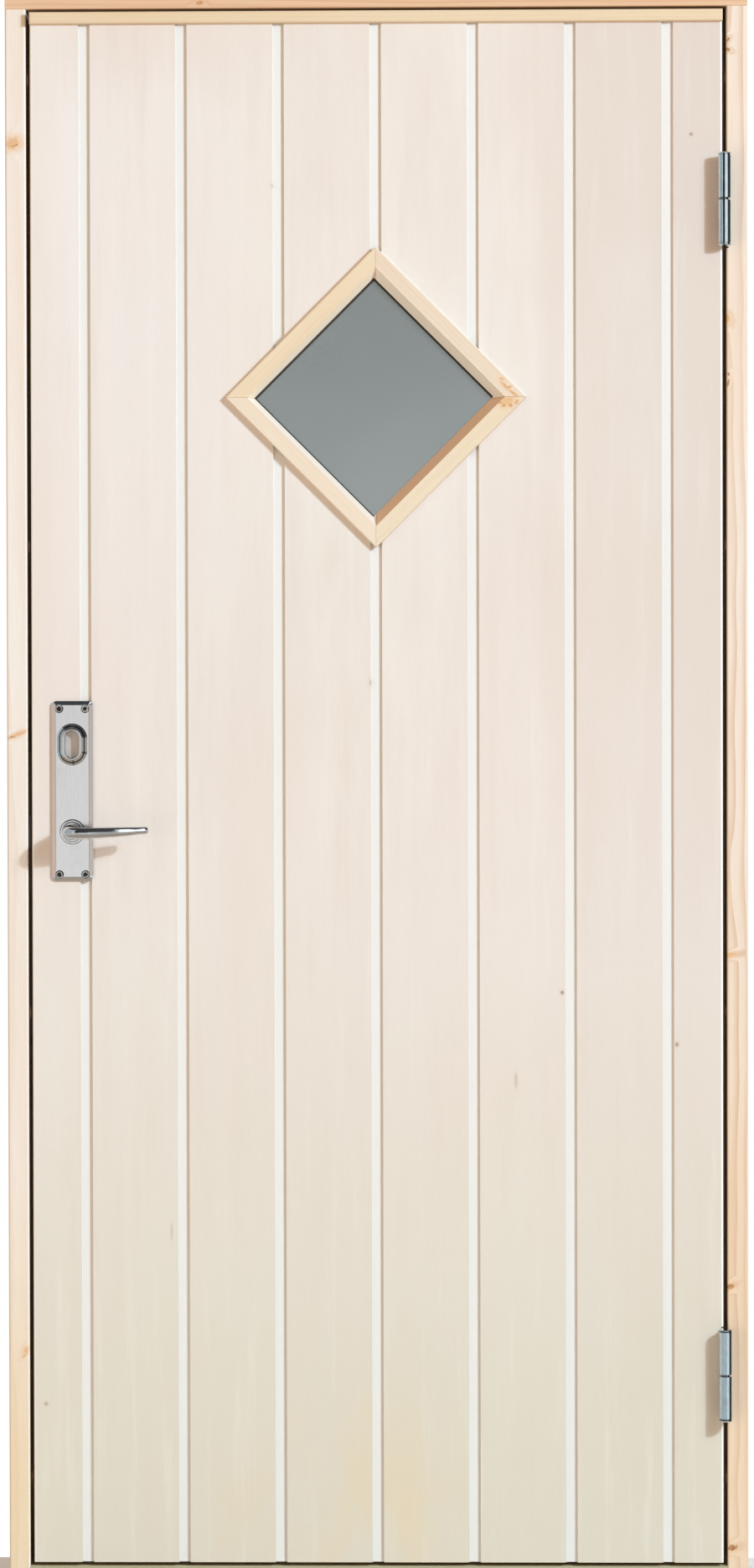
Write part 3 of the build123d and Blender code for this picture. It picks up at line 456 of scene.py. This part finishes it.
def dark_steel(name, base=0.66, rough=0.24):
    """Screw steel; painted shade darkens the recess and a ring round the rim of each lock plate screw head."""
    m = bpy.data.materials.new(name)
    t = Tree(m)
    x, y, z = t.sep(t.coords())
    n = t.noise(t.xyz(t.mul(x, 700.0), t.mul(y, 700.0), t.mul(z, 700.0)), 1.0, 3.0, 0.6)
    g = t.noise(t.xyz(t.mul(x, 260.0), t.mul(y, 260.0), t.mul(z, 260.0)), 1.0, 2.0, 0.5)
    col = t.mix(t.smooth(n, 0.35, 0.7), (base, base, base * 0.96, 1), (base * 0.7, base * 0.68, base * 0.64, 1))
    col = t.mix(t.smooth(g, 0.55, 0.75, 0.0, 0.6), col, (base * 1.3, base * 1.3, base * 1.27, 1))
    dx = t.math("SUBTRACT", t.math("ABSOLUTE", t.math("SUBTRACT", x, -0.3637)), 0.0155)
    dz = t.math("SUBTRACT", t.math("ABSOLUTE", t.math("SUBTRACT", z, 0.9466)), 0.0989)
    rr = t.add(t.math("SQRT", t.add(t.mul(dx, dx), t.mul(dz, dz))), t.mul(t.math("SUBTRACT", g, 0.5), 0.0036))
    # painted shade in the recess and round the rim of each head
    col = t.mix(t.smooth(rr, 0.0030, 0.0022, 0.0, 0.95), col, (0.025, 0.024, 0.022, 1))
    col = t.mix(t.smooth(rr, 0.0039, 0.0046, 0.0, 0.85), col, (0.05, 0.048, 0.045, 1))
    rg = t.add(t.mul(n, 0.2), rough - 0.1)
    surface(name, col, rg, t.bump(n, 0.2, 0.0002), metallic=1.0)(t)
    return m


def tape(name):
    m = bpy.data.materials.new(name)
    t = Tree(m)
    x, y, z = t.sep(t.coords())
    n = t.noise(t.xyz(t.mul(x, 900.0), t.mul(y, 900.0), t.mul(z, 900.0)), 1.0, 3.0, 0.6)
    col = t.mix(t.smooth(n, 0.35, 0.75), lin(52, 48, 44), lin(84, 78, 71))
    surface(name, col, t.add(t.mul(n, 0.2), 0.6), t.bump(n, 0.3, 0.0003), spec=0.3)(t)
    return m


def pane(name):
    """Grey pane that mirrors the studio, with a dusty skin."""
    m = bpy.data.materials.new(name)
    t = Tree(m)
    x, y, z = t.sep(t.coords())
    dust = t.noise(t.xyz(t.mul(x, 900.0), t.mul(y, 100.0), t.mul(z, 900.0)), 1.0, 2.0, 0.5)
    veil = t.noise(t.xyz(t.mul(x, 7.0), t.mul(y, 7.0), t.mul(z, 9.0)), 1.0, 3.0, 0.5)
    dot = t.cells(t.xyz(t.mul(x, 150.0), t.mul(y, 1.0), t.mul(z, 150.0)), 1.0)
    col = t.mix(t.smooth(veil, 0.3, 0.7), lin(202, 209, 207), lin(207, 214, 212))
    col = t.mix(t.smooth(dust, 0.4, 0.8, 0.0, 0.18), col, lin(216, 220, 219))
    col = t.mix(t.smooth(dot, 0.10, 0.05, 0.0, 0.5), col, lin(206, 208, 204))
    out = t.new("ShaderNodeOutputMaterial")
    b = t.new("ShaderNodeBsdfPrincipled")
    t.put(b.inputs["Base Color"], col)
    t.put(b.inputs["Roughness"], t.add(t.mul(dust, 0.06), 0.22))
    b.inputs["Metallic"].default_value = 0.8
    b.inputs["IOR"].default_value = 1.46
    b.inputs["Transmission Weight"].default_value = 0.30
    t.put(b.inputs["Normal"], t.bump(veil, 0.04, 0.0005))
    t.nt.links.new(b.outputs[0], out.inputs[0])
    return m


def dress(node, mat):
    """The node's finish."""
    o = NODES[node]
    if not o.material_slots:
        o.data.materials.append(mat)
    for s_ in o.material_slots:
        s_.material = mat


SIDES = ("upper_left", "upper_right", "lower_right", "lower_left")

dress(
    "head_jamb",
    pine(
        "frame_pine_head", "X", (238, 200, 163), (214, 160, 116), heart=(1.93, 0.02), pitch=0.0042, contrast=0.6, seed=1.0, painted_gap_shade="head", tint=(253, 251, 252),
        knots=((-0.2097, 1.8870, 0.0045, 0.0026, 10.0, 0.4, 0.8, 0.6),),
    ),
)
dress(
    "lock_jamb",
    pine(
        "frame_pine_lock", "Z", (248, 238, 227), (236, 211, 187), heart=(-0.46, -0.17), pitch=0.0060, contrast=0.45, seed=4.0, painted_gap_shade=True,
        knots=(
            (-0.4334, 1.7210, 0.0085, 0.0065, 12.0, 0.75, 0.55, 0.15),
            (-0.4318, 1.7178, 0.0050, 0.0010, 20.0, 0.0, 0.70, 0.75),
            (-0.4290, 1.0153, 0.0125, 0.0024, 22.0, 0.60, 0.60, 0.15),
            (-0.4370, 1.0120, 0.0040, 0.0016, 15.0, 0.0, 0.60, 0.60),
            (-0.4213, 0.2770, 0.0048, 0.0034, 55.0, 0.65, 0.60, 0.10),
            (-0.4245, 0.2700, 0.0045, 0.0014, 40.0, 0.30, 0.45, 0.30),
        ),
        fade=((244, 224, 184), 0.05, 0.62, 0.75),
    ),
)
dress(
    "hinge_jamb",
    pine(
        "frame_pine_hinge", "Z", (245, 228, 211), (219, 179, 147), heart=(0.40, -0.16), pitch=0.0032, contrast=0.90, seed=8.0, painted_gap_shade=True,
        fade=((254, 246, 233), 0.25, 0.95, 1.0),
        knots=(
            (0.4200, 1.8404, 0.0030, 0.0018, 60.0, 0.50, 0.95, 0.85),
            (0.4198, 1.8285, 0.0032, 0.0020, -30.0, 0.60, 0.95, 0.75),
            (0.4190, 1.5092, 0.0030, 0.0052, 15.0, 0.70, 0.70, 0.10),
            (0.4198, 1.4425, 0.0013, 0.0024, 20.0, 0.20, 0.90, 0.95),
            (0.4196, 1.4318, 0.0012, 0.0052, -12.0, 0.20, 0.90, 0.85),
            (0.4216, 0.7500, 0.0060, 0.0026, 8.0, 0.65, 0.65, 0.10),
            (0.4212, 0.3534, 0.0046, 0.0030, 35.0, 0.60, 0.95, 0.75),
            (0.4232, 0.0402, 0.0058, 0.0038, 20.0, 0.70, 0.98, 0.85),
        ),
    ),
)
dress("door_stops", pine("frame_pine_stops", "Z", (238, 214, 186), (212, 172, 130), heart=(0.2, -0.10), pitch=0.0040, contrast=0.5, seed=12.0, painted_gap_shade="stops"))
dress("threshold", pine("threshold_wood", "X", (182, 175, 142), (158, 148, 116), heart=(-0.03, -0.05), pitch=0.0034, contrast=0.5, seed=15.0))
dress("top_batten", pine("batten_pine", "X", (241, 219, 185), (226, 194, 152), heart=(1.78, 0.01), pitch=0.0040, contrast=0.4, seed=18.0, tint=(252, 250, 250)))
dress("outer_panel", board("painted_board_outer", True))
dress("inner_panel", board("painted_board_inner", False))
for n in ("hinge_stile", "lock_stile"):
    dress(n, pine("core_pine_" + n, "Z", (236, 210, 172), (206, 164, 116), heart=(0.33, 0.05), pitch=0.0035, contrast=0.8, seed=21.0))
for n in ("top_rail", "bottom_rail"):
    dress(n, pine("core_pine_" + n, "X", (236, 210, 172), (206, 164, 116), heart=(0.9, 0.05), pitch=0.0035, contrast=0.8, seed=23.0))

# the last entry of each limb tints its inner slope as painted light and shade: lighter on three limbs, darker orange
# on the lower right
LIMB = {
    "upper_left": ("A", (243, 223, 193), (230, 200, 160), ((255, 236, 210), 0.9)),
    "upper_right": ("B", (240, 220, 197), (230, 202, 170), ((255, 248, 236), 1.0)),
    "lower_right": ("A", (242, 225, 198), (230, 202, 166), ((224, 178, 140), 0.85)),
    "lower_left": ("B", (246, 232, 213), (230, 204, 168), ((252, 238, 222), 0.8)),
}
LIMB_KNOTS = {
    "upper_right": (
        (0.1530, 1.4290, 0.0065, 0.0016, -45.0, 0.60, 0.80, 0.25),
        (0.1640, 1.4190, 0.0075, 0.0014, -38.0, 0.60, 0.75, 0.20),
        (0.1500, 1.4370, 0.0030, 0.0014, -30.0, 0.45, 0.70, 0.15),
        (0.1590, 1.4270, 0.0024, 0.0012, 20.0, 0.40, 0.80, 0.30),
    ),
    "lower_right": (
        (0.1560, 1.4110, 0.0070, 0.0050, 20.0, 0.80, 0.45, 0.10),
        (0.1520, 1.4055, 0.0028, 0.0018, 30.0, 0.40, 0.85, 0.45),
        (0.1600, 1.4052, 0.0026, 0.0017, -20.0, 0.40, 0.85, 0.45),
        (0.1480, 1.4085, 0.0022, 0.0012, 10.0, 0.30, 0.85, 0.40),
        (0.1670, 1.4090, 0.0034, 0.0016, 50.0, 0.50, 0.80, 0.25),
    ),
}
# the orange marks at the top tip are painted shade where the inner slopes meet; the others are flecks and dark mitre
# joints
LIMB_MARKS_AND_SHADE = {
    "upper_left": ((-0.0020, 1.5560, 0.0050, 0.0022, 60.0, 0.55, (190, 128, 80)), (-0.0005, 1.5640, 0.0060, 0.0006, 90.0, 0.5, (150, 100, 66))),
    "upper_right": ((0.0004, 1.5590, 0.0060, 0.0016, -75.0, 0.55, (200, 138, 90)), (0.1505, 1.4160, 0.0032, 0.0007, 0.0, 0.9, (60, 44, 34))),
    "lower_right": ((0.0005, 1.2700, 0.0055, 0.0010, 88.0, 0.85, (70, 48, 36)), (0.1450, 1.4120, 0.0060, 0.0022, 42.0, 0.45, (206, 140, 88))),
    "lower_left": ((-0.0014, 1.2690, 0.0055, 0.0010, 92.0, 0.85, (60, 46, 38)),),
}
for i, side in enumerate(SIDES):
    g, e, l_, limb_bevel_tint = LIMB[side]
    for prefix in ("outer_moulding_", "inner_moulding_"):
        out = prefix == "outer_moulding_"
        kn = LIMB_KNOTS.get(side, ()) if out else ()
        mk = LIMB_MARKS_AND_SHADE.get(side, ()) if out else ()
        dress(
            prefix + side,
            pine("moulding_pine_" + prefix[0] + side, g, e, l_, heart=(0.9 + 0.03 * i, 0.06), pitch=0.0044, contrast=0.35, knots=kn, marks=mk, seed=30.0 + 3 * i, rough=0.5, bevel_light_tint=limb_bevel_tint if out else None),
        )
    dress("window_lining_" + side, pine("lining_pine_" + side, g, (226, 194, 152), (196, 148, 98), heart=(0.9, 0.06), pitch=0.0036, contrast=0.8, seed=50.0 + i))

dress("window_glass", pane("window_glass"))
dress("glazing_tape", tape("black_tape"))
for side in ("outer_", "inner_"):
    dress(side + "lock_plate", satin("satin_nickel_plate_" + side[:5], (0.90, 0.90, 0.895), 0.15, k=0.25, relief=0.012, crease_shade=True, fade=0.95))
    dress(side + "oval_ring", satin("satin_nickel_ring_" + side[:5], (0.84, 0.84, 0.83), 0.18, k=0.4, shade_band=(0.0268, 0.0284, 0.88), relief=0.04))
    dress(side + "cylinder_blank", satin("satin_nickel_blank_" + side[:5], (0.86, 0.78, 0.72), 0.46, "Z", metallic=0.25))
    dress(side + "plate_screws", dark_steel("screw_steel_" + side[:5]))
    dress(side + "lever", polished("polished_chrome_" + side[:5]))
for n in ("lock_forend", "lock_case", "latch_bolt", "strike_plate", "spindle"):
    dress(n, satin("lock_steel_" + n, (0.56, 0.57, 0.58), 0.36))
for n in ("upper_hinge_frame_half", "lower_hinge_frame_half", "upper_hinge_leaf_half", "lower_hinge_leaf_half"):
    dress(n, zinc("zinc_steel_" + n, 1.64755 if n.startswith("upper") else 0.25085))


# ------------------------------------------------------------- small fixings
def screw(name, where, facing, head_r, body, mat, depth=0.0016, turn=0.3):
    """Countersunk head with a cross recess, set flush; facing is the way it looks."""
    bm = bmesh.new()
    n = 28
    rows = ((head_r * 0.80, 0.0), (head_r * 0.96, -0.00008), (head_r, -0.00025), (head_r * 0.62, -depth))
    arm, half = head_r * 0.58, head_r * 0.15
    grid = []
    for r, h in rows:
        ring = []
        for k in range(n):
            a = 2 * math.pi * k / n
            ring.append(bm.verts.new((r * math.cos(a), r * math.sin(a), h)))
        grid.append(ring)
    for a, b in zip(grid, grid[1:]):
        for k in range(n):
            bm.faces.new((a[k], a[(k + 1) % n], b[(k + 1) % n], b[k]))
    bm.faces.new(list(reversed(grid[-1])))
    # the cross recess: a plus outline sunk into the middle of the head
    pts = []
    for q in range(4):
        a = math.pi / 2 * q + turn
        c, s = math.cos(a), math.sin(a)
        for px, py in ((arm, -half), (arm, half), (half, half)):
            pts.append((px * c - py * s, px * s + py * c))
    top = [bm.verts.new((p[0], p[1], 0.0)) for p in pts]
    low = [bm.verts.new((p[0] * 0.72, p[1] * 0.72, -depth * 0.62)) for p in pts]
    m_ = len(pts)
    for k in range(m_):
        bm.faces.new((top[k], top[(k + 1) % m_], low[(k + 1) % m_], low[k]))
    bm.faces.new(low)
    # land between the recess and the first ring
    rim = set(top) | set(grid[0])
    edges = [e for e in bm.edges if e.verts[0] in rim and e.verts[1] in rim and len(e.link_faces) == 1]
    bmesh.ops.triangle_fill(bm, edges=edges, use_beauty=True)
    bmesh.ops.recalc_face_normals(bm, faces=bm.faces)
    rot = Vector((0, 0, 1)).rotation_difference(Vector(facing)).to_matrix().to_4x4()
    bm.transform(Matrix.Translation(Vector(where)) @ rot)
    me = bpy.data.meshes.new(name)
    bm.to_mesh(me)
    bm.free()
    o = bpy.data.objects.new(name, me)
    scene.collection.objects.link(o)
    o.data.materials.append(mat)
    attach(o, body)
    return o


fixing = zinc("zinc_steel_screws")
for tag, hz in (("lower", 0.25085), ("upper", 1.64755)):
    for i, (yy, zz) in enumerate(((FACE_Y + 0.014, hz - 0.042), (FACE_Y + 0.025, hz - 0.0265), (FACE_Y + 0.014, hz - 0.013))):
        screw(f"{tag}_frame_plate_screw_{i + 1}", (JAMB_X + 0.00005, yy, zz), (-1, 0, 0), 0.00225, "frame", fixing, turn=0.3 + i)
for tag, zz in (("low", 0.9085 - 0.072), ("high", 0.9085 + 0.072)):
    screw(f"strike_plate_screw_{tag}", (-JAMB_X - 0.00005, MID_Y, zz), (1, 0, 0), 0.00225, "frame", fixing, turn=0.8)

# -------------------------------------------------------------------- studio
floor_me = bpy.data.meshes.new("floor")
bm = bmesh.new()
bmesh.ops.create_grid(bm, x_segments=8, y_segments=8, size=0.75)
bmesh.ops.translate(bm, verts=bm.verts, vec=(0.0, -0.68, 0.0))
bm.to_mesh(floor_me)
bm.free()
floor = bpy.data.objects.new("floor", floor_me)
scene.collection.objects.link(floor)
fm = bpy.data.materials.new("floor")
ft = Tree(fm)
fx, fy, fz = ft.sep(ft.coords())
fn = ft.noise(ft.xyz(ft.mul(fx, 3.0), ft.mul(fy, 3.0), 0.0), 1.0, 3.0, 0.5)
fo = ft.new("ShaderNodeOutputMaterial")
fb = ft.new("ShaderNodeBsdfPrincipled")
ft.put(fb.inputs["Base Color"], ft.mix(fn, (0.66, 0.65, 0.63, 1), (0.70, 0.69, 0.67, 1)))
fb.inputs["Roughness"].default_value = 0.8
fb.inputs["Specular IOR Level"].default_value = 0.1
ft.nt.links.new(fb.outputs[0], fo.inputs[0])
floor_me.materials.append(fm)
floor.visible_glossy = False

world = bpy.data.worlds.new("studio")
scene.world = world
wt = Tree(world)
gen = wt.new("ShaderNodeTexCoord").outputs["Generated"]
wx, wy, wz = wt.sep(gen)
az = wt.mul(wt.math("ARCTAN2", wx, wt.mul(wy, -1.0)), 180.0 / math.pi)
el = wt.mul(wt.math("ARCSINE", wz), 180.0 / math.pi)


def card(a0, a1, e0, e1, soft_a=3.0, soft_e=4.0):
    """A bright or grey card in the studio, as seen in polished metal."""
    a = wt.mul(wt.smooth(az, a0 - soft_a, a0 + soft_a), wt.smooth(az, a1 + soft_a, a1 - soft_a))
    e = wt.mul(wt.smooth(el, e0 - soft_e, e0 + soft_e), wt.smooth(el, e1 + soft_e, e1 - soft_e))
    return wt.mul(a, e)


# what polished metal sees: a tan floor, a lighter strip at the horizon, a dark
# ceiling, pale walls left and right and two soft boxes in front
seen = wt.mix(wt.smooth(el, -30.0, -20.0), (0.38, 0.33, 0.28, 1), (0.47, 0.43, 0.39, 1))
seen = wt.mix(wt.smooth(el, -4.0, 1.0), seen, (0.20, 0.20, 0.21, 1))
seen = wt.mix(wt.smooth(el, 3.0, 10.0), seen, (0.05, 0.052, 0.056, 1))
seen = wt.mix(card(-100, -36, -30, 44), seen, (0.42, 0.47, 0.50, 1))
seen = wt.mix(wt.math("MAXIMUM", card(98, 185, -60, 44), card(-185, -100, -60, 44)), seen, (0.42, 0.42, 0.43, 1))
seen = wt.mix(card(-175, 18, -17, -7, 3.0, 1.5), seen, (0.49, 0.57, 0.61, 1))
seen = wt.mix(card(-46, -38, 2, 20, 1.5), seen, (0.80, 0.84, 0.86, 1))
seen = wt.mix(card(-66, -28, -9, 3, 3.0, 2.0), seen, (0.66, 0.50, 0.41, 1))
seen = wt.mix(card(-22, 10, -9, 4, 3.0, 2.0), seen, (0.775, 0.775, 0.78, 1))
seen = wt.mix(card(-33, -9, 7, 20, 2.0, 2.0), seen, (0.015, 0.018, 0.02, 1))
seen = wt.mix(card(3, 58, 7, 12, 3.0, 0.8), seen, (0.72, 0.80, 0.80, 1))
seen = wt.mix(card(26, 46, 7, 12, 4.0, 0.8), seen, (0.98, 1.0, 1.0, 1))
seen = wt.mix(card(24, 56, -6, 4, 3.0, 2.0), seen, (0.56, 0.49, 0.45, 1))
seen = wt.mix(card(20, 58, -17, -7, 3.0, 2.0), seen, (0.88, 0.94, 0.94, 1))
seen = wt.mix(card(60, 130, -5, 4, 3.0, 1.5), seen, (0.44, 0.43, 0.42, 1))
seen = wt.mix(wt.math("MAXIMUM", card(70, 122, 6, 18, 3.0, 1.5), card(70, 122, -18, -7, 3.0, 1.5)), seen, (0.03, 0.032, 0.035, 1))
seen = wt.mix(card(19, 27, 0, 46, 1.5, 3.0), seen, (1.7, 1.8, 1.95, 1))
FILL = 0.66
KEY = 1.25
lp = wt.new("ShaderNodeLightPath")
b_fill = wt.new("ShaderNodeBackground")
b_fill.inputs["Color"].default_value = (0.82 * FILL, 0.62 * FILL, 0.45 * FILL, 1)
b_seen = wt.new("ShaderNodeBackground")
wt.put(b_seen.inputs["Color"], seen)
b_cam = wt.new("ShaderNodeBackground")
b_cam.inputs["Color"].default_value = (1, 1, 1, 1)
m1 = wt.new("ShaderNodeMixShader")
wt.put(m1.inputs[0], lp.outputs["Is Glossy Ray"])
wt.nt.links.new(b_fill.outputs[0], m1.inputs[1])
wt.nt.links.new(b_seen.outputs[0], m1.inputs[2])
m2 = wt.new("ShaderNodeMixShader")
wt.put(m2.inputs[0], lp.outputs["Is Camera Ray"])
wt.nt.links.new(m1.outputs[0], m2.inputs[1])
wt.nt.links.new(b_cam.outputs[0], m2.inputs[2])
wo = wt.new("ShaderNodeOutputWorld")
wt.nt.links.new(m2.outputs[0], wo.inputs[0])
world.cycles.sampling_method = "NONE"


def lamp(name, where, power, colour, radius):
    """Soft round lamp whose light doesn't weaken with distance."""
    l_ = bpy.data.lights.new(name, "POINT")
    l_.energy = power
    l_.color = colour
    l_.shadow_soft_size = radius
    l_.use_nodes = True
    nt = l_.node_tree
    em = next(n for n in nt.nodes if n.type == "EMISSION")
    fall = nt.nodes.new("ShaderNodeLightFalloff")
    fall.inputs["Strength"].default_value = 1.0
    nt.links.new(fall.outputs["Constant"], em.inputs["Strength"])
    o = bpy.data.objects.new(name, l_)
    o.location = where
    o.visible_glossy = False  # polished metal shows the studio cards instead
    scene.collection.objects.link(o)
    return o


lamp("key_light", (2.11, -2.17, 2.27), 17.6 * KEY, (0.610, 0.819, 1.0), 0.065)
lamp("key_glow", (2.11, -2.17, 2.27), 14.4 * KEY, (0.610, 0.819, 1.0), 0.50)
lamp("left_bounce", (-2.8, -3.0, 0.3), 4.6 * KEY, (0.93, 0.87, 0.79), 1.3)
lamp("back_light", (-1.6, 4.2, 2.6), 16.0 * KEY, (0.74, 0.88, 1.0), 0.5)

scene.view_settings.view_transform = "Standard"
scene.view_settings.look = "None"
scene.view_settings.exposure = 0.0
scene.view_settings.gamma = 1.0

# -------------------------------------------------------------------- camera
cam_data = bpy.data.cameras.new("camera")
cam_data.sensor_fit = "AUTO"
cam_data.sensor_width = 36.0
cam_data.lens = 4000.3 / 1872.0 * 36.0
cam_data.clip_start = 0.05
cam_data.clip_end = 60.0
cam = bpy.data.objects.new("camera", cam_data)
scene.collection.objects.link(cam)
pitch, roll, yaw = math.radians(-0.6436), math.radians(0.1257), math.radians(0.7796)
turn = Matrix.Rotation(yaw, 4, "Z") @ Matrix.Rotation(roll, 4, "Y") @ Matrix.Rotation(pitch, 4, "X")
look = Matrix.Rotation(math.radians(90), 4, "X")
cam.matrix_world = Matrix.Translation((0.0546, -4.049, 0.9999)) @ turn @ look
scene.camera = cam
